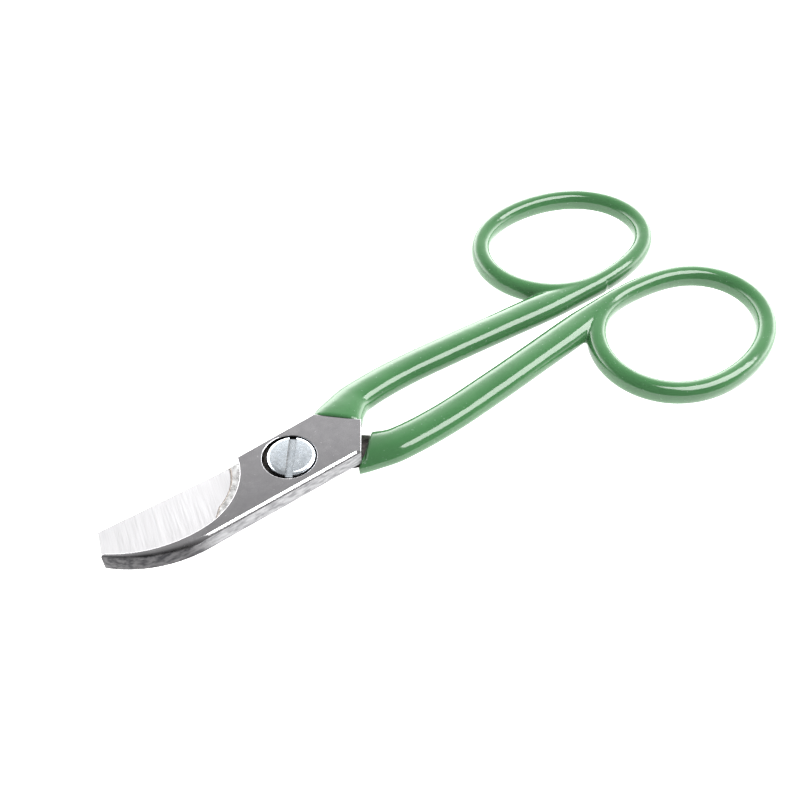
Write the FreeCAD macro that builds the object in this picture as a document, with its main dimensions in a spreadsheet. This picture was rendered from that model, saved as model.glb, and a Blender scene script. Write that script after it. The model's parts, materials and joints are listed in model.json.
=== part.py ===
import FreeCAD, Part

import math
import os

import Sketcher
from FreeCAD import Placement, Rotation, Vector

# Floral snips: two forged halves crossing on a slotted pivot screw, each with a dipped soft coat over its
# handle and finger loop. The upper half ends in a narrow hooked jaw, the lower one in a wide ground blade.
#
# Frame, in millimetres: the origin is on the pivot axis at the lower half's underside, +X runs from the pivot
# to the finger loops, +Z is up, and the blades are closed.
#
# Both halves share one handle. Everything is drawn in a half's own frame, whose z = 0 is the plane where the
# two halves meet. The upper half is placed as drawn, and the lower one is turned over about the X axis.

DIMS = {
    # the crossing plates
    "plate_thick": 3.85,
    "face_gap": 0.04,          # from the meeting plane to each half's inner face
    "toe_x": 12.3,             # slanted end of the plate beside the other half's handle
    "toe_y": -7.75,
    "throat_x": 17.0,
    "throat_y": -1.2,
    "neck_front_x": 17.9,      # the plate's hidden end, just inside the coat
    "neck_front_y": 0.2,
    "neck_back_x": 10.7,
    "neck_back_y": 7.5,
    "waist_x": 9.8,
    "waist_y": 6.9,
    "heel_x": -9.1,            # corner where the jaw's or the blade's side begins
    "heel_y": 6.5,
    # hooked jaw
    "jaw_root_x": -24.0,
    "jaw_root_y": -7.4,
    "jaw_mid_x": -22.9,
    "jaw_mid_y": -4.8,
    "jaw_nose_x": -42.35,
    "jaw_nose_y": 0.8,
    "jaw_tip_x": -41.7,
    "jaw_tip_y": 1.35,
    "jaw_outer_radius": 25.9,
    "jaw_throat_radius": 15.4,
    "jaw_inner_radius": 26.2,
    "jaw_nose_radius": 0.45,
    "outer_bevel": 0.55,       # along the straight outer side of the upper plate
    # wide blade, in the turned-over frame of the lower half
    "edge_start_x": -10.0,     # the cutting edge is one arc that passes under the hooked jaw
    "edge_start_y": 5.3,
    "edge_end_x": -40.6,
    "edge_end_y": -0.4,
    "edge_radius": 34.6,
    "blade_corner_x": -41.8,
    "blade_corner_y": -4.0,
    "blade_corner_radius": 4.0,
    "blade_tip_x": -39.9,
    "blade_tip_y": -9.7,
    "blade_root_x": -10.4,
    "blade_root_y": -8.1,
    "bevel_wide": 2.6,         # cutting bevel ground on the blade's outer face
    "bevel_deep": 3.1,
    "grind_depth": 0.3,        # the ground flat lies this far below the pivot area
    "grind_start_x": -10.2,
    "grind_start_y": -8.4,
    "grind_turn_x": -17.2,
    "grind_turn_y": -0.25,
    "grind_radius": 12.1,
    "grind_edge_x": -25.0,
    "grind_edge_y": 8.0,
    "grind_far_x": -46.0,
    "grind_far_y": 8.0,
    "grind_back_x": -46.0,
    "grind_back_y": -12.0,
    # pivot screw
    "screw_radius": 3.0,       # threaded end, M6
    "thread_gap": 0.02,
    "shoulder_radius": 3.3,
    "running_gap": 0.04,
    "head_radius": 5.0,
    "head_top": 4.3,           # above the meeting plane
    "head_round": 0.6,
    "head_seat_gap": 0.03,
    "counterbore_radius": 6.0,
    "counterbore_floor": 1.9,  # above the meeting plane
    "counterbore_x": -0.3,     # the counterbore is a little off the pivot's axis
    "counterbore_y": 0.2,
    "slot_wide": 1.5,
    "slot_deep": 1.1,
    "slot_angle": 51.5,
    # dipped coat
    "coat_thick": 0.8,
    # finger loop, an oval about its own centre
    "loop_x": 97.25,
    "loop_y": 20.8,
    "loop_long_radius": 23.45,
    "loop_short_radius": 18.0,
    "loop_turn": -3.7,
    "loop_wide": 4.2,
    "loop_high": 5.7,
    "loop_corner": 1.95,
    # underside step, where the handle clears the other half's plate
    "step_low_x": 19.1,
    "step_low_y": -1.2,
    "step_inner_x": 18.0,
    "step_inner_y": 2.3,
    "step_knee_x": 16.6,
    "step_knee_y": 5.3,
    "step_outer_x": 9.0,
    "step_outer_y": 12.0,
    "step_back_x": 5.0,
    "step_back_y": 12.0,
    "step_front_x": 5.0,
    "step_front_y": -1.2,
}

# Cross-sections along the coated handle: x, y, height of the middle above the meeting plane, heading in
# degrees, width, height and corner radius. They run from the plate's end to the inner side of the loop.
STATION_FIELDS = ("x", "y", "rise", "turn", "wide", "high", "corner")
STATIONS = (
    (13.6, 3.2, 1.65, 45.0, 11.3, 5.3, 1.0),
    (17.0, 6.0, 1.2, 33.0, 10.2, 5.6, 1.5),
    (22.0, 7.75, 0.3, 12.0, 9.0, 5.7, 2.0),
    (34.0, 8.56, 0.0, 0.5, 8.7, 5.5, 2.2),
    (48.6, 7.77, 0.0, -4.3, 8.55, 5.4, 2.2),
    (63.2, 6.5, 0.0, -5.2, 8.4, 5.4, 2.2),
    (77.5, 5.15, 0.0, -6.0, 8.2, 5.4, 2.2),
    (86.0, 4.05, 0.0, -7.5, 6.1, 5.3, 2.1),
    (94.0, 3.1, 0.0, -5.0, 4.0, 4.9, 1.8),
)

# Closed outlines. A side is straight, or an arc whose centre is on the named side of the way round.
PLATE_END = [("toe",), ("throat",), ("neck_front",), ("neck_back",), ("waist",)]
HOOKED_JAW = [
    ("heel", "right", "jaw_throat_radius"),
    ("jaw_mid", "right", "jaw_inner_radius"),
    ("jaw_tip", "left", "jaw_nose_radius"),
    ("jaw_nose", "left", "jaw_outer_radius"),
    ("jaw_root",),
]
WIDE_BLADE = [
    ("heel",),
    ("edge_start", "left", "edge_radius"),
    ("edge_end", "left", "blade_corner_radius"),
    ("blade_corner",),
    ("blade_tip",),
    ("blade_root",),
]
GROUND_FLAT = [
    ("grind_start", "left", "grind_radius"),
    ("grind_turn",),
    ("grind_edge",),
    ("grind_far",),
    ("grind_back",),
]
STEP = [("step_low",), ("step_inner",), ("step_knee",), ("step_outer",), ("step_back",), ("step_front",)]

AS_DRAWN = Rotation()
TURNED_OVER = Rotation(Vector(1, 0, 0), 180)
UP = Vector(0, 0, 1)

os.makedirs("parts", exist_ok=True)
doc = FreeCAD.newDocument("floral_snips")
sheet = doc.addObject("Spreadsheet::Sheet", "dims")


def fill_sheet():
    """Write every driving dimension as one named cell."""
    cells = dict(DIMS)
    for number, row in enumerate(STATIONS):
        for field, value in zip(STATION_FIELDS, row):
            cells[f"bar{number}_{field}"] = value
    for line, (alias, value) in enumerate(cells.items(), start=1):
        sheet.set(f"A{line}", alias.replace("_", " "))
        sheet.set(f"B{line}", str(value))
        sheet.setAlias(f"B{line}", alias)
    doc.recompute()


def size(expression):
    """The value of an expression of named cells."""
    return float(sheet.evalExpression(expression.replace("dims.", "")))


def point(name):
    """A named point of an outline."""
    return Vector(size(name + "_x"), size(name + "_y"), 0)


def new_body(name):
    body = doc.addObject("PartDesign::Body", name)
    body.Label = name
    return body


def new_sketch(body, name, level="0", role="XY_Plane"):
    """An empty sketch on one of the body's own planes, lifted to a level given as an expression."""
    sketch = body.newObject("Sketcher::SketchObject", name)
    plane = [item for item in body.Origin.OriginFeatures if item.Role == role][0]
    sketch.AttachmentSupport = [(plane, "")]
    sketch.MapMode = "FlatFace"
    sketch.setExpression("AttachmentOffset.Base.z", level)
    return sketch


def bind(sketch, kind, geometry, expression):
    """Add a sized constraint whose value is an expression of the sheet's cells."""
    index = sketch.addConstraint(Sketcher.Constraint(kind, *geometry, size(expression)))
    sketch.setExpression(f"Constraints[{index}]", expression)


def pin(sketch, geometry, vertex, across, along):
    """Hold one vertex of a sketch at a place given by two expressions."""
    bind(sketch, "DistanceX", (-1, 1, geometry, vertex), across)
    bind(sketch, "DistanceY", (-1, 1, geometry, vertex), along)


def arc_centre(start, end, radius, bend):
    """The centre of the short arc from start to end, on the left or the right of the way."""
    chord = end - start
    rise = math.sqrt(radius ** 2 - (chord.Length / 2) ** 2)
    left = UP.cross(chord).normalize()
    return (start + end) * 0.5 + left * (rise if bend == "left" else -rise)


def arc_between(start, end, radius, bend):
    centre = arc_centre(start, end, radius, bend)
    ends = (start, end) if bend == "left" else (end, start)
    angles = [math.atan2(place.y - centre.y, place.x - centre.x) for place in ends]
    return Part.ArcOfCircle(Part.Circle(centre, UP, radius), *angles)


def draw_outline(sketch, corners, shift=""):
    """Draw a closed outline through named points, moved in x by an expression if one is given."""
    ends = []
    for number, (name, *arc) in enumerate(corners):
        start = point(name)
        end = point(corners[(number + 1) % len(corners)][0])
        if arc:
            bend, radius = arc
            index = sketch.addGeometry(arc_between(start, end, size(radius), bend), False)
            ends.append((index, 1, 2) if bend == "left" else (index, 2, 1))
        else:
            index = sketch.addGeometry(Part.LineSegment(start, end), False)
            ends.append((index, 1, 2))
    for number, (name, *arc) in enumerate(corners):
        index, first, last = ends[number]
        following = ends[(number + 1) % len(ends)]
        sketch.addConstraint(Sketcher.Constraint("Coincident", index, last, following[0], following[1]))
        pin(sketch, index, first, f"dims.{name}_x{shift}", f"dims.{name}_y")
        if arc:
            bind(sketch, "Radius", (index,), f"dims.{arc[1]}")
    doc.recompute()


def draw_polygon(sketch, corners):
    """Draw a closed polygon whose corners are pairs of expressions."""
    places = [Vector(size(across), size(along), 0) for across, along in corners]
    for number, place in enumerate(places):
        sketch.addGeometry(Part.LineSegment(place, places[(number + 1) % len(places)]), False)
    for number, (across, along) in enumerate(corners):
        following = (number + 1) % len(corners)
        sketch.addConstraint(Sketcher.Constraint("Coincident", number, 2, following, 1))
        pin(sketch, number, 1, across, along)
    doc.recompute()


def draw_bar(sketch, wide, high, corner):
    """Draw a bar's section about the sketch's origin: four flats joined by equal arcs."""
    radius = size(corner)
    side = size(wide) / 2 - radius
    top = size(high) / 2 - radius
    quarter = math.pi / 2
    centres = [Vector(side, top, 0), Vector(-side, top, 0), Vector(-side, -top, 0), Vector(side, -top, 0)]
    for number, centre in enumerate(centres):
        circle = Part.Circle(centre, UP, radius)
        sketch.addGeometry(Part.ArcOfCircle(circle, number * quarter, (number + 1) * quarter), False)
    for number, centre in enumerate(centres):
        angle = (number + 1) * quarter
        lift = Vector(math.cos(angle), math.sin(angle), 0) * radius
        sketch.addGeometry(Part.LineSegment(centre + lift, centres[(number + 1) % 4] + lift), False)
    for number in range(4):
        line = 4 + number
        sketch.addConstraint(Sketcher.Constraint("Tangent", number, 2, line, 1))
        sketch.addConstraint(Sketcher.Constraint("Tangent", line, 2, (number + 1) % 4, 1))
        sketch.addConstraint(Sketcher.Constraint("Vertical" if number % 2 else "Horizontal", line))
    for number in (1, 2, 3):
        sketch.addConstraint(Sketcher.Constraint("Equal", 0, number))
    sketch.addConstraint(Sketcher.Constraint("Symmetric", 0, 3, 2, 3, -1, 1))
    bind(sketch, "Radius", (0,), corner)
    bind(sketch, "DistanceX", (1, 3, 0, 3), f"{wide} - 2 * ({corner})")
    bind(sketch, "DistanceY", (3, 3, 0, 3), f"{high} - 2 * ({corner})")
    doc.recompute()


def square_to(heading):
    """The rotation that stands a sketch upright, square to a heading in degrees."""
    return Rotation(UP, heading + 90) * Rotation(Vector(1, 0, 0), 90)


def pad(body, sketch, name, length):
    feature = body.newObject("PartDesign::Pad", name)
    feature.Profile = sketch
    feature.Refine = False
    feature.setExpression("Length", length)
    doc.recompute()


def pocket(body, sketch, name, length):
    """Cut a sketch's shape downwards from its level."""
    feature = body.newObject("PartDesign::Pocket", name)
    feature.Profile = sketch
    feature.Refine = False
    feature.setExpression("Length", length)
    doc.recompute()


def cut_round(body, name, level, radius, depth, across="0", along="0"):
    """A round pocket from a level downwards, about the pivot axis or a place beside it."""
    sketch = new_sketch(body, name, level)
    sketch.addGeometry(Part.Circle(Vector(size(across), size(along), 0), UP, size(radius)), False)
    pin(sketch, 0, 3, across, along)
    bind(sketch, "Radius", (0,), radius)
    doc.recompute()
    pocket(body, sketch, name + "_cut", depth)


def edges_at(shape, place):
    """The names of the edges whose middle lies at a place."""
    reach = 0.3
    near = [(edge.CenterOfMass - place).Length < reach for edge in shape.Edges]
    return [f"Edge{number}" for number, hit in enumerate(near, start=1) if hit]


def add_shank(body, inset):
    """The handle's bar, from the plate's end to the inner side of the loop."""
    sections = []
    for number in range(len(STATIONS)):
        key = f"dims.bar{number}_"
        section = new_sketch(body, f"{body.Name}_bar{number}", key + "rise")
        section.AttachmentOffset = Placement(Vector(), square_to(size(key + "turn")))
        section.setExpression("AttachmentOffset.Base.x", key + "x")
        section.setExpression("AttachmentOffset.Base.y", key + "y")
        draw_bar(section, key + "wide" + inset * 2, key + "high" + inset * 2, key + "corner" + inset)
        sections.append(section)
    shank = body.newObject("PartDesign::AdditiveLoft", body.Name + "_shank")
    shank.Profile = sections[0]
    shank.Sections = sections[1:]
    shank.Refine = False
    doc.recompute()


def add_finger_loop(body, inset):
    """The bent bar of the finger loop, swept once round its oval."""
    path = new_sketch(body, body.Name + "_loop_path")
    turn = math.radians(size("loop_turn"))
    along = Vector(math.cos(turn), math.sin(turn), 0)
    centre = point("loop")
    far_end = centre + along * size("loop_long_radius")
    side_end = centre + UP.cross(along) * size("loop_short_radius")
    path.addGeometry(Part.Ellipse(far_end, side_end, centre), False)
    path.exposeInternalGeometry(0)
    pin(path, 0, 3, "dims.loop_x", "dims.loop_y")
    bind(path, "Distance", (1,), "2 * dims.loop_long_radius")
    bind(path, "Distance", (2,), "2 * dims.loop_short_radius")
    section = new_sketch(body, body.Name + "_loop_section")
    section.AttachmentOffset = Placement(far_end, square_to(90 + size("loop_turn")))
    draw_bar(section, "dims.loop_wide" + inset * 2, "dims.loop_high" + inset * 2, "dims.loop_corner" + inset)
    loop = body.newObject("PartDesign::AdditivePipe", body.Name + "_loop")
    loop.Profile = section
    loop.Spine = (path, [])
    loop.Refine = False
    doc.recompute()


def add_handle(body, inset):
    """The handle of either half, thinner by an inset all round, and stepped to clear the other half's plate.

    The steel's step is set back by the coat's thickness, so that the coat covers it.
    """
    add_shank(body, inset)
    add_finger_loop(body, inset)
    step = new_sketch(body, body.Name + "_step", "dims.face_gap")
    draw_outline(step, STEP, inset.replace("-", "+"))
    pocket(body, step, body.Name + "_step_cut", "2 * dims.plate_thick")


def place(body, turn):
    """Put a body drawn in a half's own frame where it belongs: the meeting plane is one plate up."""
    body.Placement = Placement(Vector(0, 0, size("plate_thick")), turn)
    body.setExpression("Placement.Base.z", "dims.plate_thick")
    doc.recompute()


def forge_upper_half():
    """The half with the hooked jaw, which carries the counterbore for the screw's head."""
    body = new_body("upper_half")
    plate = new_sketch(body, "upper_plate", "dims.face_gap")
    draw_outline(plate, PLATE_END + HOOKED_JAW)
    pad(body, plate, "upper_plate_pad", "dims.plate_thick - dims.face_gap")
    base = body.Tip
    outer_side = (point("toe") + point("jaw_root")) * 0.5 + UP * size("plate_thick")
    bevel = body.newObject("PartDesign::Chamfer", "outer_side_bevel")
    bevel.Base = (base, edges_at(base.Shape, outer_side))
    bevel.Refine = False
    bevel.setExpression("Size", "dims.outer_bevel")
    doc.recompute()
    add_handle(body, " - dims.coat_thick")
    cut_round(body, "counterbore", "dims.plate_thick", "dims.counterbore_radius",
              "dims.plate_thick - dims.counterbore_floor", "dims.counterbore_x", "dims.counterbore_y")
    cut_round(body, "bore", "dims.plate_thick", "dims.shoulder_radius + dims.running_gap", "dims.plate_thick")
    place(body, AS_DRAWN)
    return body


def forge_lower_half():
    """The half with the wide ground blade, into which the screw is threaded."""
    body = new_body("lower_half")
    plate = new_sketch(body, "lower_plate", "dims.face_gap")
    draw_outline(plate, PLATE_END + WIDE_BLADE)
    pad(body, plate, "lower_plate_pad", "dims.plate_thick - dims.face_gap")
    grind_bevel(body)
    flat = new_sketch(body, "ground_flat", "dims.face_gap + dims.grind_depth")
    draw_outline(flat, GROUND_FLAT)
    pocket(body, flat, "ground_flat_cut", "dims.plate_thick")
    add_handle(body, " - dims.coat_thick")
    cut_round(body, "thread_hole", "dims.plate_thick", "dims.screw_radius + dims.thread_gap", "dims.plate_thick")
    place(body, TURNED_OVER)
    return body


def grind_bevel(body):
    """The cutting bevel: a wedge turned about the centre of the edge's arc, off the blade's outer face."""
    start, end = point("edge_start"), point("edge_end")
    centre = arc_centre(start, end, size("edge_radius"), "left")
    first = math.degrees(math.atan2(start.y - centre.y, start.x - centre.x))
    last = math.degrees(math.atan2(end.y - centre.y, end.x - centre.x))
    run_off = 6.0
    wedge = new_sketch(body, "bevel_wedge")
    wedge.AttachmentOffset = Placement(centre, square_to(first - 90))
    draw_polygon(wedge, [
        ("dims.edge_radius - dims.bevel_wide", "dims.plate_thick"),
        ("dims.edge_radius", "dims.plate_thick - dims.bevel_deep"),
        ("dims.edge_radius + 2 * dims.bevel_wide", "dims.plate_thick - dims.bevel_deep"),
        ("dims.edge_radius + 2 * dims.bevel_wide", "2 * dims.plate_thick"),
        ("dims.edge_radius - dims.bevel_wide", "2 * dims.plate_thick"),
    ])
    cut = body.newObject("PartDesign::Groove", "cutting_bevel")
    cut.Profile = wedge
    cut.ReferenceAxis = (wedge, ["V_Axis"])
    cut.Angle = last - first + run_off
    cut.Refine = False
    doc.recompute()


def turn_screw():
    """A slotted cheese-head screw: its shoulder turns in the upper half and its thread holds in the lower one."""
    body = new_body("pivot_screw")
    profile = new_sketch(body, "screw_profile", "0", "XZ_Plane")
    draw_polygon(profile, [
        ("0", "0 - dims.plate_thick"),
        ("dims.screw_radius", "0 - dims.plate_thick"),
        ("dims.screw_radius", "0 - dims.face_gap"),
        ("dims.shoulder_radius", "0 - dims.face_gap"),
        ("dims.shoulder_radius", "dims.counterbore_floor + dims.head_seat_gap"),
        ("dims.head_radius", "dims.counterbore_floor + dims.head_seat_gap"),
        ("dims.head_radius", "dims.head_top"),
        ("0", "dims.head_top"),
    ])
    blank = body.newObject("PartDesign::Revolution", "screw_blank")
    blank.Profile = profile
    blank.ReferenceAxis = (profile, ["V_Axis"])
    blank.Angle = 360
    blank.Refine = False
    doc.recompute()
    rounding = body.newObject("PartDesign::Fillet", "head_rounding")
    rounding.Base = (blank, edges_at(blank.Shape, UP * size("head_top")))
    rounding.Refine = False
    rounding.setExpression("Radius", "dims.head_round")
    doc.recompute()
    slot = new_sketch(body, "driver_slot", "dims.head_top")
    slot.AttachmentOffset = Placement(Vector(), Rotation(UP, size("slot_angle")))
    draw_polygon(slot, [
        ("0 - 2 * dims.head_radius", "0 - dims.slot_wide / 2"),
        ("2 * dims.head_radius", "0 - dims.slot_wide / 2"),
        ("2 * dims.head_radius", "dims.slot_wide / 2"),
        ("0 - 2 * dims.head_radius", "dims.slot_wide / 2"),
    ])
    pocket(body, slot, "driver_slot_cut", "dims.slot_deep")
    place(body, AS_DRAWN)
    return body


def dip_handle(name, half, turn):
    """The soft coat over one handle: the coated handle's shape with the steel half cut out of it."""
    dip = new_body(name + "_dip")
    add_handle(dip, "")
    place(dip, turn)
    coat = doc.addObject("Part::Cut", name)
    coat.Base = dip
    coat.Tool = half
    coat.Refine = False
    coat.Label = name
    doc.recompute()
    return coat


fill_sheet()
upper = forge_upper_half()
lower = forge_lower_half()
pieces = [
    upper,
    lower,
    turn_screw(),
    dip_handle("upper_handle_coat", upper, AS_DRAWN),
    dip_handle("lower_handle_coat", lower, TURNED_OVER),
]
doc.recompute()

for item in doc.Objects:
    if "Invalid" in item.State or "Error" in item.State:
        raise RuntimeError(f"{item.Name} did not build: {item.State}")
for piece in pieces:
    if piece.Shape.isNull() or not piece.Shape.isValid():
        raise RuntimeError(f"{piece.Label} is not a valid shape")
for piece in pieces:
    piece.Shape.exportStep(f"parts/{piece.Label}.step")
    print(f"{piece.Label}: {len(piece.Shape.Solids)} solid, {piece.Shape.Volume:.0f} cubic mm")
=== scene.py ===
import json
import math

import bmesh
import bpy
from mathutils import Matrix, Quaternion, Vector


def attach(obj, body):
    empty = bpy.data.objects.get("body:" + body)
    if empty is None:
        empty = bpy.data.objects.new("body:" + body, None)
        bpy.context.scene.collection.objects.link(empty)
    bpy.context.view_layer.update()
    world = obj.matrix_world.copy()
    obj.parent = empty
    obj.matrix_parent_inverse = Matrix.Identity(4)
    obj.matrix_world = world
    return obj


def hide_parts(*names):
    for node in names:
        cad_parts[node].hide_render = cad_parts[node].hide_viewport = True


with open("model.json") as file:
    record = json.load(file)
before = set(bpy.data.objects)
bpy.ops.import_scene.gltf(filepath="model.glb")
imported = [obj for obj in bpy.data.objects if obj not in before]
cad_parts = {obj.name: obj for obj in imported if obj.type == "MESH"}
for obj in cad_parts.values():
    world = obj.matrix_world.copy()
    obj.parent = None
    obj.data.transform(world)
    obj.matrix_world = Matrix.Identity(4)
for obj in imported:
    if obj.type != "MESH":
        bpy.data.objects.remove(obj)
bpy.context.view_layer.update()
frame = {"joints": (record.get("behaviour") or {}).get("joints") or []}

# Floral snips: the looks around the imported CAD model. Shapes are drawn in millimetres in a half's own frame,
# whose z = 0 is the plane where the two halves meet. The upper half is placed as drawn, and the lower one is
# turned over about the X axis. Then both are in metres, in the frame's own place.

MM = 0.001
PIVOT = Vector(frame["joints"][0]["pos_m"])
PLATE = PIVOT.z / MM            # a plate's thickness: the lower one's underside is at height 0
FACE_GAP = 0.04                 # from the meeting plane to each half's inner face
COAT = 0.8                      # thickness of the dipped coat

# Corners of the crossing plates.
TOE = (12.3, -7.75)
THROAT = (17.0, -1.2)
NECK_FRONT = (17.5, -0.4)
NECK_BACK = (10.1, 7.0)
WAIST = (9.8, 6.9)
HEEL = (-9.1, 6.5)

# Closed outlines. A side is straight, or an arc whose centre is on the named side of the way round.
PLATE_END = [(TOE,), (THROAT,), (NECK_FRONT,), (NECK_BACK,), (WAIST,)]
JAW_ROOT = (-24.0, -7.4)
JAW_NOSE = (-42.35, 0.8)
JAW_TIP = (-41.7, 1.35)
HOOKED_JAW = [
    (HEEL, "right", 15.4),
    ((-22.9, -4.8), "right", 26.2),
    (JAW_TIP, "left", 0.45),
    (JAW_NOSE, "left", 25.9),
    (JAW_ROOT,),
]
EDGE_START = (-10.0, 5.3)
EDGE_END = (-40.6, -0.4)
EDGE_RADIUS = 34.6
WIDE_BLADE = [
    (HEEL,),
    (EDGE_START, "left", EDGE_RADIUS),
    (EDGE_END, "left", 4.0),
    ((-41.8, -4.0),),
    ((-39.9, -9.7),),
    ((-10.4, -8.1),),
]
GRIND_START = (-10.2, -8.4)
GRIND_TURN = (-17.2, -0.25)
GROUND_FLAT = [
    (GRIND_START, "left", 12.1),
    (GRIND_TURN,),
    ((-25.0, 8.0),),
    ((-46.0, 8.0),),
    ((-46.0, -12.0),),
]
STEP = [((19.4, -1.2),), ((20.0, 1.0),), ((9.0, 12.0),), ((5.0, 12.0),), ((5.0, -1.2),)]

# The ground blade.
GRIND_DEPTH = 0.3
GRIND_RUN_OUT = 0.6             # how far the wheel's hollow runs out past the ground flat
GRIND_TURN_ANGLE = 75.0         # how the wheel's lines run on the blade
BEVEL_WIDE = 2.6
BEVEL_DEEP = 3.1

# How an upper edge is eased: reach inwards, depth and fullness (1 is a flat bevel, 2 an elliptical round).
SHARP_EDGE = (0.15, 0.15, 2.0)
BLADE_EDGE = (0.25, 0.25, 2.0)
OUTER_EDGE = (0.75, 0.5, 1.2)
NOSE_EDGE = (0.3, 3.2, 1.9)
NOSE_SWELL = 0.7                # how much further the jaw's round reaches in half-way along it
NOSE_GROWTH = 2.0               # the round has its full depth at this many times the way along the jaw
TIP_DEPTH = 2.0
TIP_DROP = 1.8                  # how much of the tip's depth is lost on its way round to the inner side

# Cross-sections along the coated handle: x, y, height of the middle, heading in degrees, width, height,
# squareness (2 is an ellipse), squareness of the upper outer quarter, and degrees of outward lean.
STATIONS = [
    (11.7, 1.95, 1.85, 33.0, 11.3, 4.9, 2.8, 3.4, 0.0),
    (14.3, 3.65, 1.8, 32.0, 11.1, 4.9, 2.7, 2.9, 1.0),
    (17.6, 5.85, 1.35, 27.0, 9.8, 5.2, 2.5, 2.3, 4.0),
    (22.0, 7.7, 0.75, 13.0, 8.8, 5.4, 2.4, 2.1, 6.0),
    (34.0, 8.56, 0.2, 0.5, 8.4, 5.4, 2.4, 2.2, 8.0),
    (48.6, 7.77, 0.0, -4.3, 8.4, 5.4, 2.35, 2.3, 8.0),
    (63.2, 6.5, 0.0, -5.2, 8.4, 5.4, 2.35, 2.3, 8.0),
    (77.5, 5.15, 0.0, -6.0, 8.2, 5.4, 2.35, 2.35, 6.0),
    (86.0, 4.05, 0.0, -7.5, 6.3, 5.2, 2.35, 2.35, 3.0),
    (94.0, 3.1, 0.0, -5.0, 4.6, 4.9, 2.35, 2.35, 0.0),
]

# What is cut away in front of each coat: the upper one is dipped to the neck, the lower one to the step.
UPPER_DIP = [((18.0, -1.2),), ((8.0, 8.8),), ((0.0, 8.8),), ((0.0, -6.0),), ((18.0, -6.0),)]
LOWER_DIP = [((20.6, 0.7),), ((8.5, 10.3),), ((0.0, 10.3),), ((0.0, -6.0),), ((20.6, -6.0),)]

# The finger loop's middle line is a circle with waves, each given by its count round, cosine and sine parts.
LOOP_CENTRE = (97.2, 20.8)
LOOP_RADIUS = 20.0
LOOP_WAVES = ((2, 2.69, -0.32), (3, 0.33, -0.1), (4, 0.07, -0.16))
LOOP_WIDE = 4.9
LOOP_HIGH = 5.1
LOOP_SQUARENESS = 2.35

# Pivot screw, and its counterbore, which is a little off the pivot's axis.
SCREW_RADIUS = 3.0
SHOULDER_RADIUS = 3.3
HEAD_RADIUS = 5.12
HEAD_TOP = 4.3
HEAD_SEAT = 1.93
BORE_RADIUS = 3.34
SINK_RADIUS = 5.74
SINK_FLOOR = 1.9
SINK_CENTRE = (-0.35, 0.12)
SLOT_WIDE = 1.5
SLOT_DEEP = 1.1
SLOT_ANGLE = 51.5
THREAD_GAP = 0.02

ROOM_SIDE = (-0.49, -0.64, 0.59)     # towards the dim room, where the camera stands

AS_DRAWN = Matrix.Translation(PIVOT) @ Matrix.Scale(MM, 4)
TURNED_OVER = AS_DRAWN @ Matrix.Rotation(math.pi, 4, "X")


# ---------------------------------------------------------------- outlines and solids

def arc_centre(start, end, radius, bend):
    """The centre of the short arc from start to end, on the left or the right of the way."""
    start, end = Vector(start), Vector(end)
    chord = end - start
    rise = math.sqrt(radius ** 2 - (chord.length / 2) ** 2)
    left = Vector((-chord.y, chord.x)).normalized()
    return (start + end) / 2 + left * (rise if bend == "left" else -rise)


def side_points(start, end, arc, step):
    """Points along one side of an outline, without its last one."""
    start, end = Vector(start), Vector(end)
    if not arc:
        count = max(1, round((end - start).length / step))
        return [start.lerp(end, number / count) for number in range(count)]
    bend, radius = arc
    centre = arc_centre(start, end, radius, bend)
    first, last = start - centre, end - centre
    turn = first.angle_signed(last)
    count = max(4, round(abs(turn) * radius / step))
    return [centre + Matrix.Rotation(-turn * number / count, 2) @ first for number in range(count)]


def trace(corners, step=0.5):
    """The points round a closed outline, each with the number of its side and how far along it lies."""
    points = []
    for side, (start, *arc) in enumerate(corners):
        end = corners[(side + 1) % len(corners)][0]
        found = side_points(start, end, arc, step)
        points += [(point, side, number / len(found)) for number, point in enumerate(found)]
    return points


def mitres(points):
    """At each point of a closed outline, the way in that keeps one unit from both sides."""
    ways = []
    for number, point in enumerate(points):
        before = point - points[number - 1]
        after = points[(number + 1) % len(points)] - point
        one = Vector((-before.y, before.x)).normalized()
        two = Vector((-after.y, after.x)).normalized()
        ways.append((one + two) / (1 + one.dot(two)))
    return ways


def skin(name, rings, closed=False):
    """A mesh over rings of points. If it isn't closed, each end gets a flat face."""
    shape = bmesh.new()
    rows = [[shape.verts.new(point) for point in ring] for ring in rings]
    pairs = list(zip(rows, rows[1:]))
    if closed:
        pairs.append((rows[-1], rows[0]))
    else:
        shape.faces.new(rows[0])
        shape.faces.new(rows[-1])
    for low, high in pairs:
        for number in range(len(low)):
            following = (number + 1) % len(low)
            shape.faces.new((low[number], low[following], high[following], high[number]))
    bmesh.ops.recalc_face_normals(shape, faces=shape.faces)
    mesh = bpy.data.meshes.new(name)
    shape.to_mesh(mesh)
    shape.free()
    piece = bpy.data.objects.new(name, mesh)
    bpy.context.scene.collection.objects.link(piece)
    return piece


def prism(name, points, low, high):
    """A straight-sided solid between two heights."""
    return skin(name, [[(*point, level) for point in points] for level in (low, high)])


def edged_plate(name, points, low, high, edges, steps=6):
    """A plate whose upper edge is rounded: edges gives each point's reach inwards, depth and fullness.

    A fullness of 1 is a flat bevel and 2 is an elliptical round.
    """
    ways = mitres(points)
    rings = [[(*point, low) for point in points]]
    for step in range(steps + 1):
        angle = math.pi / 2 * step / steps
        ring = []
        for point, way, (reach, depth, fullness) in zip(points, ways, edges):
            inset = reach * (1 - math.cos(angle) ** (2 / fullness))
            drop = depth * (1 - math.sin(angle) ** (2 / fullness))
            ring.append((*(point + way * inset), high - drop))
        rings.append(ring)
    return skin(name, rings)


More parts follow.
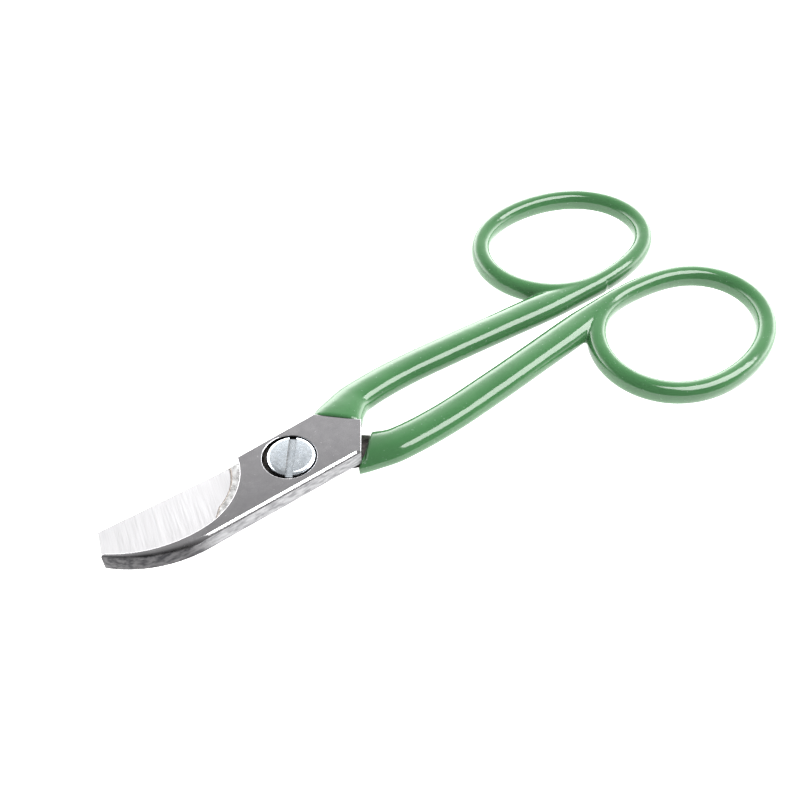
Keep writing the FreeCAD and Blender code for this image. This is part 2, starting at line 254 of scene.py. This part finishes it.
def lathe(name, profile, centre=(0, 0), first=0.0, last=360.0, step=3.0):
    """A profile of radius and height pairs, turned about a vertical axis."""
    full = last - first >= 360
    count = round((last - first) / step)
    rings = []
    for number in range(count if full else count + 1):
        angle = math.radians(first + (last - first) * number / count)
        ring = [(centre[0] + reach * math.cos(angle), centre[1] + reach * math.sin(angle), height)
                for reach, height in profile]
        rings.append(ring)
    return skin(name, rings, closed=full)


def bake(piece):
    """Apply a piece's modifiers to its mesh."""
    bpy.context.view_layer.update()
    done = piece.evaluated_get(bpy.context.evaluated_depsgraph_get())
    mesh = bpy.data.meshes.new_from_object(done)
    piece.modifiers.clear()
    piece.data = mesh


def combine(piece, other, operation, keep=False):
    """Join another solid to a piece, or cut it out of it."""
    boolean = piece.modifiers.new(operation, "BOOLEAN")
    boolean.operation = operation
    boolean.solver = "MANIFOLD"
    boolean.object = other
    bake(piece)
    if not keep:
        bpy.data.objects.remove(other)


def place(piece, where):
    """Put a drawn piece into the frame, in metres."""
    piece.data.transform(where)


def soften(piece, sharp_above):
    """Shade a piece smooth, except over edges that turn by more than an angle in degrees."""
    shape = bmesh.new()
    shape.from_mesh(piece.data)
    for face in shape.faces:
        face.smooth = True
    for edge in shape.edges:
        edge.smooth = edge.calc_face_angle(math.pi) < math.radians(sharp_above)
    shape.to_mesh(piece.data)
    shape.free()
    weigh = piece.modifiers.new("flat faces stay flat", "WEIGHTED_NORMAL")
    weigh.keep_sharp = True
    weigh.weight = 100


# ---------------------------------------------------------------- handles

def flow(rows, distances, at):
    """A smooth curve through rows of values, which lie at rising distances."""
    last = len(rows) - 1
    span = max(number for number in range(last) if distances[number] <= at)
    one, two = rows[span], rows[span + 1]
    length = distances[span + 1] - distances[span]
    share = (at - distances[span]) / length

    def slope(number):
        low, high = max(number - 1, 0), min(number + 1, last)
        return (rows[high] - rows[low]) / (distances[high] - distances[low])

    square, cube = share ** 2, share ** 3
    return ((2 * cube - 3 * square + 1) * one + (cube - 2 * square + share) * length * slope(span)
            + (3 * square - 2 * cube) * two + (cube - square) * length * slope(span + 1))


def bar_section(centre, heading, wide, high, squareness, crown=None, lean=0.0, count=80):
    """The closed section of a bar along a heading. The crown is the squareness of its upper outer quarter."""
    across = Vector((-math.sin(heading), math.cos(heading), 0))
    up = Vector((0, 0, 1))
    points = []
    for number in range(count):
        angle = 2 * math.pi * (number + 0.5) / count
        cosine, sine = math.cos(angle), math.sin(angle)
        power = 2 / (crown if crown and cosine > 0 and sine > 0 else squareness)
        sideways = math.copysign(abs(cosine) ** power, cosine) * wide / 2
        upwards = math.copysign(abs(sine) ** power, sine) * high / 2
        leant = Matrix.Rotation(-lean, 2) @ Vector((sideways, upwards))
        points.append(centre + across * leant.x + up * leant.y)
    return points


def shank(name, inset, step=0.6):
    """The handle's bar, from inside the plate to the inner side of the loop."""
    rows = [Vector((*row[:3], math.radians(row[3]), *row[4:8], math.radians(row[8]))) for row in STATIONS]
    distances = [0.0]
    for one, two in zip(rows, rows[1:]):
        distances.append(distances[-1] + (two.xyz - one.xyz).length)
    count = round(distances[-1] / step)
    rings = []
    for number in range(count + 1):
        row = flow(rows, distances, distances[-1] * number / count)
        rings.append(bar_section(row.xyz, row[3], row[4] - 2 * inset, row[5] - 2 * inset, *row[6:]))
    return skin(name, rings)


def loop_point(angle):
    """A point on the finger loop's middle line."""
    radius = LOOP_RADIUS
    for waves, even, odd in LOOP_WAVES:
        radius += even * math.cos(waves * angle) + odd * math.sin(waves * angle)
    return Vector((LOOP_CENTRE[0] + radius * math.cos(angle), LOOP_CENTRE[1] + radius * math.sin(angle), 0))


def finger_loop(name, inset, count=240):
    """The bent bar of the finger loop."""
    turn = 2 * math.pi / count
    wide, high = LOOP_WIDE - 2 * inset, LOOP_HIGH - 2 * inset
    rings = []
    for number in range(count):
        ahead = loop_point((number + 0.5) * turn) - loop_point((number - 0.5) * turn)
        heading = math.atan2(ahead.y, ahead.x)
        rings.append(bar_section(loop_point(number * turn), heading, wide, high, LOOP_SQUARENESS))
    return skin(name, rings, closed=True)


def handle(name, inset):
    """One handle, thinner by an inset all round, and stepped to clear the other half's plate."""
    piece = shank(name, inset)
    combine(piece, finger_loop("loop", inset), "UNION")
    step = [point + Vector((inset, 0)) for point, side, along in trace(STEP)]
    combine(piece, prism("step", step, -2 * PLATE, FACE_GAP), "DIFFERENCE")
    return piece


# ---------------------------------------------------------------- steel halves

def rounded_sink(reach, floor, top, rim, centre):
    """A cutter for a round hole from a floor to a top face, whose rim is eased."""
    profile = [(0, floor), (reach, floor), (reach, top - rim)]
    for number in (1, 2, 3):
        angle = math.pi / 6 * number
        profile.append((reach + rim * (1 - math.cos(angle)), top - rim * (1 - math.sin(angle))))
    profile += [(reach + rim, top + 1), (0, top + 1)]
    return hole_cutter(profile, centre)


def hole_cutter(profile, centre=(0, 0)):
    """A turned cutter whose profile starts and ends on its axis."""
    count = 120
    shape = bmesh.new()
    low = shape.verts.new((*centre, profile[0][1]))
    high = shape.verts.new((*centre, profile[-1][1]))
    rows = []
    for number in range(count):
        angle = 2 * math.pi * number / count
        row = []
        for reach, height in profile[1:-1]:
            across, along = reach * math.cos(angle), reach * math.sin(angle)
            row.append(shape.verts.new((centre[0] + across, centre[1] + along, height)))
        rows.append(row)
    for number, row in enumerate(rows):
        following = rows[(number + 1) % count]
        shape.faces.new((low, following[0], row[0]))
        shape.faces.new((high, row[-1], following[-1]))
        for level in range(len(row) - 1):
            shape.faces.new((row[level], following[level], following[level + 1], row[level + 1]))
    bmesh.ops.recalc_face_normals(shape, faces=shape.faces)
    mesh = bpy.data.meshes.new("turned")
    shape.to_mesh(mesh)
    shape.free()
    piece = bpy.data.objects.new("turned", mesh)
    bpy.context.scene.collection.objects.link(piece)
    return piece


def jaw_edges(outline):
    """How the upper half's upper edge is eased: a rolled edge outside, which becomes the jaw's full round."""
    # The hooked jaw's sides follow the plate's: its throat, inner arc, tip, nose and outer side.
    tip_side, nose_side, outer_side = (len(PLATE_END) + number for number in (2, 3, 4))
    edges = []
    for point, side, along in outline:
        if side == outer_side:
            edges.append(OUTER_EDGE)
        elif side == nose_side:
            ahead = 1 - along
            grown = min(1, NOSE_GROWTH * ahead)
            taper = (NOSE_EDGE[0] - OUTER_EDGE[0]) * ahead
            reach = OUTER_EDGE[0] + taper + NOSE_SWELL * math.sin(math.pi * ahead)
            depth = OUTER_EDGE[1] + (NOSE_EDGE[1] - OUTER_EDGE[1]) * grown
            fullness = OUTER_EDGE[2] + (NOSE_EDGE[2] - OUTER_EDGE[2]) * grown
            edges.append((reach, depth, fullness))
        elif side == tip_side:
            edges.append((NOSE_EDGE[0], TIP_DEPTH - TIP_DROP * along, 2.0))
        else:
            edges.append(SHARP_EDGE)
    return edges


def upper_steel():
    """The half with the hooked jaw, counterbored for the screw's head."""
    outline = trace(PLATE_END + HOOKED_JAW)
    points = [point for point, side, along in outline]
    piece = edged_plate("upper_steel", points, FACE_GAP, PLATE, jaw_edges(outline), steps=10)
    combine(piece, handle("core", COAT), "UNION")
    combine(piece, rounded_sink(SINK_RADIUS, SINK_FLOOR, PLATE, 0.15, SINK_CENTRE), "DIFFERENCE")
    combine(piece, rounded_sink(BORE_RADIUS, -1, SINK_FLOOR, 0.1, (0, 0)), "DIFFERENCE")
    return piece


def lower_steel():
    """The half with the wide ground blade, threaded for the screw."""
    points = [point for point, side, along in trace(PLATE_END + WIDE_BLADE)]
    piece = edged_plate("lower_steel", points, FACE_GAP, PLATE, [BLADE_EDGE] * len(points))
    centre = arc_centre(EDGE_START, EDGE_END, EDGE_RADIUS, "left")
    wedge = [
        (EDGE_RADIUS - BEVEL_WIDE, PLATE),
        (EDGE_RADIUS, PLATE - BEVEL_DEEP),
        (EDGE_RADIUS + 5, PLATE - BEVEL_DEEP),
        (EDGE_RADIUS + 5, 2 * PLATE),
        (EDGE_RADIUS - BEVEL_WIDE, 2 * PLATE),
    ]
    first = math.degrees(math.atan2(EDGE_START[1] - centre.y, EDGE_START[0] - centre.x))
    last = math.degrees(math.atan2(EDGE_END[1] - centre.y, EDGE_END[0] - centre.x))
    combine(piece, lathe("wedge", wedge, centre, first, last + 6, step=1.0), "DIFFERENCE")
    flat = [point for point, side, along in trace(GROUND_FLAT)]
    run_out = [(GRIND_RUN_OUT, GRIND_DEPTH, 2.0)] * len(flat)
    combine(piece, edged_plate("hollow", flat, -PLATE, FACE_GAP + GRIND_DEPTH, run_out), "DIFFERENCE")
    combine(piece, handle("core", COAT), "UNION")
    combine(piece, rounded_sink(SCREW_RADIUS + THREAD_GAP, -1, PLATE, 0.3, (0, 0)), "DIFFERENCE")
    return piece


def dipped_coat(name, steel, dip):
    """The soft coat over one handle, as a shell round the steel, with the soft edges of a dip."""
    piece = handle(name, 0)
    front = [point for point, side, along in trace(dip)]
    combine(piece, prism("dip", front, -2 * PLATE, 2 * PLATE), "DIFFERENCE")
    blend = piece.modifiers.new("one coat over both bars", "REMESH")
    blend.mode = "VOXEL"
    blend.voxel_size = 0.27
    smooth = piece.modifiers.new("flow of the dipped coat", "SMOOTH")
    smooth.factor = 0.5
    smooth.iterations = 8
    bake(piece)
    combine(piece, steel, "DIFFERENCE", keep=True)
    return piece


def pivot_screw():
    """The slotted screw: head, shoulder and threaded end."""
    head_round = 0.85
    end_chamfer = 0.3
    profile = [
        (0, -PLATE),
        (SCREW_RADIUS - end_chamfer, -PLATE),
        (SCREW_RADIUS, end_chamfer - PLATE),
        (SCREW_RADIUS, -FACE_GAP),
        (SHOULDER_RADIUS, -FACE_GAP),
        (SHOULDER_RADIUS, HEAD_SEAT),
        (HEAD_RADIUS - 0.1, HEAD_SEAT),
        (HEAD_RADIUS, HEAD_SEAT + 0.1),
    ]
    steps = 8
    for number in range(steps + 1):
        angle = math.pi / 2 * number / steps
        inwards, down = head_round * (1 - math.cos(angle)), head_round * (1 - math.sin(angle))
        profile.append((HEAD_RADIUS - inwards, HEAD_TOP - down))
    profile.append((0, HEAD_TOP))
    piece = hole_cutter(profile)
    ease = 0.04
    half = SLOT_WIDE / 2
    section = [(-half, -SLOT_DEEP), (half, -SLOT_DEEP), (half, -ease), (half + ease, 0), (half + ease, 1),
               (-half - ease, 1), (-half - ease, 0), (-half, -ease)]
    ring = [[(reach, across, HEAD_TOP + height) for across, height in section] for reach in (-8, 8)]
    slot = skin("slot", ring)
    slot.data.transform(Matrix.Rotation(math.radians(SLOT_ANGLE), 4, "Z"))
    combine(piece, slot, "DIFFERENCE")
    piece.name = "slotted_screw"
    return piece


# ---------------------------------------------------------------- materials

def new_material(name, **values):
    """A Principled material with its plain values set on its own sockets."""
    material = bpy.data.materials.new(name)
    material.use_nodes = True
    shader = material.node_tree.nodes["Principled BSDF"]
    for socket, value in values.items():
        shader.inputs[socket.replace("_", " ")].default_value = value
    return material, material.node_tree, shader


def noise(tree, size, stretch=1.0, turn=0.0, detail=2.0):
    """Noise over a piece's own shape: spots of a size in millimetres, stretched along a turned X axis."""
    mapping = tree.nodes.new("ShaderNodeMapping")
    mapping.vector_type = "TEXTURE"
    mapping.inputs["Rotation"].default_value = (0, 0, math.radians(turn))
    mapping.inputs["Scale"].default_value = (size * stretch * MM, size * MM, size * MM)
    tree.links.new(tree.nodes.new("ShaderNodeTexCoord").outputs["Object"], mapping.inputs["Vector"])
    cloud = tree.nodes.new("ShaderNodeTexNoise")
    cloud.inputs["Scale"].default_value = 1.0
    cloud.inputs["Detail"].default_value = detail
    tree.links.new(mapping.outputs["Vector"], cloud.inputs["Vector"])
    return cloud.outputs["Fac"]


def spread(tree, value, low, high, to_low, to_high, smooth=False):
    """Map a value from one range to another, held at its ends."""
    node = tree.nodes.new("ShaderNodeMapRange")
    if smooth:
        node.interpolation_type = "SMOOTHSTEP"
    for socket, number in zip(("From Min", "From Max", "To Min", "To Max"), (low, high, to_low, to_high)):
        node.inputs[socket].default_value = number
    tree.links.new(value, node.inputs["Value"])
    return node.outputs["Result"]


def tint(tree, value, low, low_colour, high, high_colour):
    """Two colours, mixed by a value."""
    node = tree.nodes.new("ShaderNodeValToRGB")
    node.color_ramp.elements[0].position = low
    node.color_ramp.elements[0].color = (*low_colour, 1)
    node.color_ramp.elements[1].position = high
    node.color_ramp.elements[1].color = (*high_colour, 1)
    tree.links.new(value, node.inputs["Fac"])
    return node.outputs["Color"]


def reckon(tree, operation, one, two=0.0):
    """A sum, a product or the like of two values."""
    node = tree.nodes.new("ShaderNodeMath")
    node.operation = operation
    tree.links.new(one, node.inputs[0])
    if isinstance(two, float):
        node.inputs[1].default_value = two
    else:
        tree.links.new(two, node.inputs[1])
    return node.outputs["Value"]


def mix_colours(tree, share, one, two):
    """One colour turning into another as a share rises from 0 to 1."""
    node = tree.nodes.new("ShaderNodeMix")
    node.data_type = "RGBA"
    tree.links.new(share, node.inputs["Factor"])
    tree.links.new(one, node.inputs[6])
    tree.links.new(two, node.inputs[7])
    return node.outputs[2]


def relief(tree, shader, height, depth):
    """Bump, whose depth is in millimetres."""
    node = tree.nodes.new("ShaderNodeBump")
    node.inputs["Strength"].default_value = 1.0
    node.inputs["Distance"].default_value = depth * MM
    tree.links.new(height, node.inputs["Height"])
    tree.links.new(node.outputs["Normal"], shader.inputs["Normal"])


def paint(tree, shader, colour, roughness):
    """Link a material's varied colour and roughness."""
    tree.links.new(colour, shader.inputs["Base Color"])
    tree.links.new(roughness, shader.inputs["Roughness"])


def scratches(tree, turn, width=0.06, length=5.0, rarity=0.73):
    """Fine straight scratches at a turn."""
    return spread(tree, noise(tree, width, length / width, turn, 1.0), rarity, rarity + 0.08, 0.0, 1.0)


def dipped_vinyl():
    """Glossy green vinyl with the faint sags of a dip and a few specks of dust under the skin."""
    material, tree, shader = new_material("dipped green vinyl", IOR=1.5)
    body = tint(tree, noise(tree, 9.0, detail=3.0), 0.35, (0.038, 0.122, 0.044), 0.65, (0.044, 0.136, 0.05))
    dust = spread(tree, noise(tree, 0.45, detail=0.0), 0.79, 0.84, 0.0, 0.5)
    pale = tint(tree, dust, 0.0, (0.2, 0.3, 0.22), 1.0, (0.2, 0.3, 0.22))
    gloss = spread(tree, noise(tree, 3.0, detail=5.0), 0.3, 0.7, 0.06, 0.13)
    paint(tree, shader, mix_colours(tree, dust, body, pale), gloss)
    sags = reckon(tree, "ADD", noise(tree, 4.0, detail=1.0), reckon(tree, "MULTIPLY", dust, 0.1))
    relief(tree, shader, sags, 0.07)
    return material


def polished_nickel(name, painted_side_low, painted_side_high, painted_jaw_low, painted_jaw_high):
    """Polished nickel plate with pits and hairline scratches. Its upright sides and the jaw's round get
    colours of their own that are painted light: the shade and the reflections these surfaces catch, lighter or
    deeper than the flat face.
    """
    material, tree, shader = new_material(name, Metallic=1.0)
    split = tree.nodes.new("ShaderNodeSeparateXYZ")
    tree.links.new(tree.nodes.new("ShaderNodeTexCoord").outputs["Normal"], split.inputs[0])
    upright = reckon(tree, "ABSOLUTE", split.outputs["Z"])
    # Upright faces take the painted side colours. They are also duller, which is real.
    side = spread(tree, upright, 0.15, 0.45, 1.0, 0.0, smooth=True)
    along = tree.nodes.new("ShaderNodeSeparateXYZ")
    tree.links.new(tree.nodes.new("ShaderNodeTexCoord").outputs["Object"], along.inputs[0])
    # Beyond x = -20 mm the jaw's domed faces take the painted jaw colours.
    jaw_start, jaw_full = -20 * MM, -28 * MM
    jaw = spread(tree, along.outputs["X"], jaw_full, jaw_start, 1.0, 0.0, smooth=True)
    domed = spread(tree, upright, 0.5, 0.93, 1.0, 0.0, smooth=True)
    side = reckon(tree, "MAXIMUM", side, reckon(tree, "MULTIPLY", domed, jaw))
    face_colour = tint(tree, noise(tree, 1.6, detail=6.0), 0.3, (0.58, 0.57, 0.59), 0.7, (0.63, 0.62, 0.635))
    # Painted shade and painted reflection, mottled, on the sides and on the jaw's round.
    painted_side_colour = tint(tree, noise(tree, 0.7, 3.0, detail=4.0), 0.35, painted_side_low, 0.6, painted_side_high)
    painted_jaw_colour = tint(tree, noise(tree, 0.7, 3.0, detail=4.0), 0.35, painted_jaw_low, 0.6, painted_jaw_high)
    painted_side_colour = mix_colours(tree, jaw, painted_side_colour, painted_jaw_colour)
    colour = mix_colours(tree, side, face_colour, painted_side_colour)
    hairs = reckon(tree, "MAXIMUM", scratches(tree, 24.0), scratches(tree, -38.0))
    pits = spread(tree, noise(tree, 0.3, detail=1.0), 0.76, 0.8, 0.0, 1.0)
    marks = reckon(tree, "MAXIMUM", reckon(tree, "MULTIPLY", hairs, 0.35), pits)
    gloss = spread(tree, noise(tree, 2.2, detail=5.0), 0.3, 0.7, 0.1, 0.18)
    dull = reckon(tree, "ADD", gloss, reckon(tree, "MULTIPLY", side, 0.15))
    paint(tree, shader, colour, reckon(tree, "ADD", dull, reckon(tree, "MULTIPLY", marks, 0.2)))
    ripple = reckon(tree, "MULTIPLY", noise(tree, 0.5, detail=3.0), 0.35)
    relief(tree, shader, reckon(tree, "SUBTRACT", ripple, marks), 0.003)
    return material


def ground_steel():
    """Satin steel with the fine lines of the grinding wheel."""
    material, tree, shader = new_material("ground steel", Metallic=1.0)
    lines = noise(tree, 0.1, 60.0, GRIND_TURN_ANGLE, 2.0)
    colour = tint(tree, lines, 0.3, (0.56, 0.55, 0.56), 0.7, (0.64, 0.64, 0.65))
    paint(tree, shader, colour, spread(tree, noise(tree, 0.3, 30.0, GRIND_TURN_ANGLE), 0.3, 0.7, 0.44, 0.54))
    relief(tree, shader, lines, 0.0025)
    return material


def run_out_painted_shadow():
    """Painted shadow: the wheel's hollow runs out in a brownish band, deep in tone and coarser, which stands
    for the shadow of the jaw's wall on the blade.
    """
    material, tree, shader = new_material("run-out with painted shadow", Metallic=1.0)
    lines = noise(tree, 0.15, 20.0, GRIND_TURN_ANGLE, 3.0)
    # Painted shadow: deep brown where the jaw's wall shades the blade.
    colour = tint(tree, lines, 0.35, (0.08, 0.068, 0.06), 0.7, (0.26, 0.235, 0.215))
    paint(tree, shader, colour, spread(tree, lines, 0.3, 0.7, 0.25, 0.4))
    relief(tree, shader, lines, 0.01)
    return material


def painted_joint_shade():
    """Painted shade: steel made near black in the joint's gaps and recesses, turning pale towards the blades.
    """
    material, tree, shader = new_material("painted joint shade", Metallic=1.0)
    joint_mottle = noise(tree, 1.2, detail=5.0)
    dark = tint(tree, joint_mottle, 0.35, (0.03, 0.028, 0.026), 0.7, (0.11, 0.1, 0.095))
    pale_colour = tint(tree, joint_mottle, 0.35, (0.85, 0.84, 0.83), 0.7, (0.95, 0.95, 0.95))
    split = tree.nodes.new("ShaderNodeSeparateXYZ")
    tree.links.new(tree.nodes.new("ShaderNodeTexCoord").outputs["Object"], split.inputs[0])
    # Near black from x = -7 mm towards the joint, pale beyond x = -8.5 mm.
    near = spread(tree, split.outputs["X"], -8.5 * MM, -7.0 * MM, 0.0, 1.0, smooth=True)
    paint(tree, shader, mix_colours(tree, near, pale_colour, dark), spread(tree, joint_mottle, 0.3, 0.7, 0.2, 0.42))
    relief(tree, shader, joint_mottle, 0.01)
    return material


def bright_zinc():
    """Bluish zinc plate, mottled, with worn scratches from the screwdriver."""
    material, tree, shader = new_material("bright zinc", Metallic=1.0)
    blotches = noise(tree, 1.1, detail=6.0)
    colour = tint(tree, blotches, 0.3, (0.78, 0.85, 0.92), 0.7, (0.86, 0.92, 0.97))
    hairs = scratches(tree, SLOT_ANGLE + 90, 0.05, 3.0, 0.7)
    gloss = spread(tree, noise(tree, 0.6, detail=6.0), 0.3, 0.7, 0.2, 0.3)
    paint(tree, shader, colour, reckon(tree, "ADD", gloss, reckon(tree, "MULTIPLY", hairs, 0.08)))
    relief(tree, shader, reckon(tree, "SUBTRACT", blotches, reckon(tree, "MULTIPLY", hairs, 0.4)), 0.0012)
    return material


# ---------------------------------------------------------------- stage

def add_camera():
    """The camera: above the tool, on the lower handle's side and towards the blades."""
    aim = Vector((29.7, 1.84, 3.85)) * MM
    distance = 219.5 * MM
    azimuth = math.radians(-37.05)
    elevation = math.radians(47.29)
    back = Vector((math.sin(azimuth) * math.cos(elevation), -math.cos(azimuth) * math.cos(elevation),
                   math.sin(elevation)))
    data = bpy.data.cameras.new("camera")
    data.lens = 44.14
    data.sensor_width = 36.0
    data.clip_start = 0.01
    camera = bpy.data.objects.new("camera", data)
    camera.location = aim + back * distance
    camera.rotation_euler = (math.pi / 2 - elevation, 0, azimuth)
    bpy.context.scene.collection.objects.link(camera)
    bpy.context.scene.camera = camera


def add_light(name, azimuth, elevation, roll, distance, wide, high, power, aim):
    """A softbox seen from the aim in a direction: azimuth from +X towards +Y, and elevation."""
    turn, rise = math.radians(azimuth), math.radians(elevation)
    way = Vector((math.cos(turn) * math.cos(rise), math.sin(turn) * math.cos(rise), math.sin(rise)))
    data = bpy.data.lights.new(name, "AREA")
    data.shape = "RECTANGLE"
    data.size = wide
    data.size_y = high
    data.energy = power
    light = bpy.data.objects.new(name, data)
    light.location = aim + way * distance
    facing = way.to_track_quat("Z", "Y") @ Quaternion((0, 0, 1), math.radians(roll))
    light.rotation_euler = facing.to_euler()
    bpy.context.scene.collection.objects.link(light)


def add_world():
    """Soft studio surroundings: a bright sweep low behind the tool, grey above, and a dim room in front."""
    glow, fall_off, brightest, dimmest = 40.0, -5.66, 7.0, 0.3
    world = bpy.data.worlds.new("studio")
    world.use_nodes = True
    tree = world.node_tree
    way = tree.nodes.new("ShaderNodeTexCoord").outputs["Generated"]
    split = tree.nodes.new("ShaderNodeSeparateXYZ")
    tree.links.new(way, split.inputs[0])
    fall = reckon(tree, "EXPONENT", reckon(tree, "MULTIPLY", split.outputs["Z"], fall_off))
    backdrop = reckon(tree, "MINIMUM", reckon(tree, "MULTIPLY", fall, glow), brightest)
    facing = tree.nodes.new("ShaderNodeVectorMath")
    facing.operation = "DOT_PRODUCT"
    facing.inputs[1].default_value = ROOM_SIDE
    tree.links.new(way, facing.inputs[0])
    room = spread(tree, facing.outputs["Value"], -0.1, 0.5, 1.0, 0.03, smooth=True)
    background = tree.nodes["Background"]
    background.inputs["Color"].default_value = (1, 1, 1, 1)
    lit = reckon(tree, "MULTIPLY", backdrop, room)
    tree.links.new(reckon(tree, "MAXIMUM", lit, dimmest), background.inputs["Strength"])
    bpy.context.scene.world = world


def lowest(pieces, start, end):
    """The lowest point of some pieces between two distances along X."""
    points = [vertex.co for piece in pieces for vertex in piece.data.vertices if start < vertex.co.x < end]
    return min(points, key=lambda point: point.z)


def add_floor(pieces):
    """A white table under the tool, which rests on the lower coat's end and on the loops."""
    near = lowest(pieces, 0.0, 0.03)
    far = lowest(pieces, 0.07, 0.13)
    slope = (far.z - near.z) / (far.x - near.x)
    corners = [(x, y, near.z + slope * (x - near.x)) for x, y in ((-2, -2), (2, -2), (2, 2), (-2, 2))]
    piece = skin("floor", [corners, [(x, y, z - 0.02) for x, y, z in corners]])
    material, tree, shader = new_material("lit white table", Roughness=0.7, Emission_Strength=2.2)
    shader.inputs["Base Color"].default_value = (0.4, 0.4, 0.4, 1)
    shader.inputs["Emission Color"].default_value = (1, 1, 1, 1)
    piece.data.materials.append(material)


# ---------------------------------------------------------------- assembly

def finish_piece(piece, where, body, node, material, areas=(), sharp_above=35):
    """Give a drawn piece its materials and its place.

    Each of the areas is a test of a face's centre and normal, with the material of the faces that pass it.
    """
    piece.data.materials.clear()
    piece.data.materials.append(material)
    for number, (chosen, other) in enumerate(areas):
        piece.data.materials.append(other)
        for face in piece.data.polygons:
            if chosen(face.center, face.normal):
                face.material_index = number + 1
    place(piece, where)
    soften(piece, sharp_above)
    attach(piece, body)
    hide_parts(node)


# The masks below pick the faces in the joint's gaps and recesses that get the painted joint shade: the meeting
# faces, the counterbore, the lower neck and the screw's slot.
def in_counterbore(centre, normal):
    reach = math.hypot(centre.x - SINK_CENTRE[0], centre.y - SINK_CENTRE[1])
    return reach < SINK_RADIUS + 0.01 and centre.z < PLATE - 0.16


def on_meeting_face(centre, normal):
    return normal.z < -0.9 and centre.z < FACE_GAP + 0.02


def on_neck(centre, normal):
    return centre.x > WAIST[0] and normal.z < -0.3


def on_ground_flat(centre, normal):
    return normal.z < -0.99 and centre.z > FACE_GAP + 0.5 * GRIND_DEPTH and centre.x < GRIND_START[0]


# Slopes of the hollow's run-out, which get the painted shadow.
def on_run_out(centre, normal):
    between = FACE_GAP + 0.02 < centre.z < FACE_GAP + GRIND_DEPTH + 0.01
    return between and -0.99 < normal.z < -0.02 and centre.x < GRIND_START[0]


def on_slot_wall(centre, normal):
    return abs(normal.z) < 0.9 and centre.z > HEAD_TOP - SLOT_DEEP and centre.xy.length < SLOT_WIDE


upper = upper_steel()
lower = lower_steel()
upper_coat = dipped_coat("upper_coat", upper, UPPER_DIP)
lower_coat = dipped_coat("lower_coat", lower, LOWER_DIP)
screw = pivot_screw()

# Upper half: painted shade on its sides and a painted reflection, near black, on the jaw's round. Lower half:
# painted reflection of the white table on its sides, lighter than its face.
nickel = polished_nickel("polished nickel", (0.13, 0.13, 0.135), (0.25, 0.25, 0.255),
                         (0.025, 0.025, 0.027), (0.075, 0.073, 0.075))
nickel_painted_bright_sides = polished_nickel("nickel with painted bright sides", (0.7, 0.68, 0.68), (0.95, 0.94, 0.93),
                                (0.7, 0.68, 0.68), (0.95, 0.94, 0.93))
joint_shade = painted_joint_shade()
green = dipped_vinyl()
# On the lower half: painted joint shade on the meeting face and on the neck, and a painted shadow on the
# hollow's run-out.
ground_areas = [
    (on_meeting_face, joint_shade),
    (on_neck, joint_shade),
    (on_ground_flat, ground_steel()),
    (on_run_out, run_out_painted_shadow()),
]
# Painted joint shade on the upper half's meeting face, in its counterbore, and on the screw's slot walls and
# eased slot edges.
finish_piece(upper, AS_DRAWN, "upper", "upper_half", nickel,
             [(on_meeting_face, joint_shade), (in_counterbore, joint_shade)])
finish_piece(lower, TURNED_OVER, "lower", "lower_half", nickel_painted_bright_sides, ground_areas)
finish_piece(upper_coat, AS_DRAWN, "upper", "upper_handle_coat", green, sharp_above=50)
finish_piece(lower_coat, TURNED_OVER, "lower", "lower_handle_coat", green, sharp_above=50)
finish_piece(screw, AS_DRAWN, "lower", "pivot_screw", bright_zinc(), [(on_slot_wall, joint_shade)])

bpy.context.scene.view_settings.view_transform = "Standard"
add_camera()
add_world()
add_light("key softbox", -21, 57, 35, 0.8, 0.45, 0.64, 10.2, PIVOT)
add_floor([upper, lower, upper_coat, lower_coat])
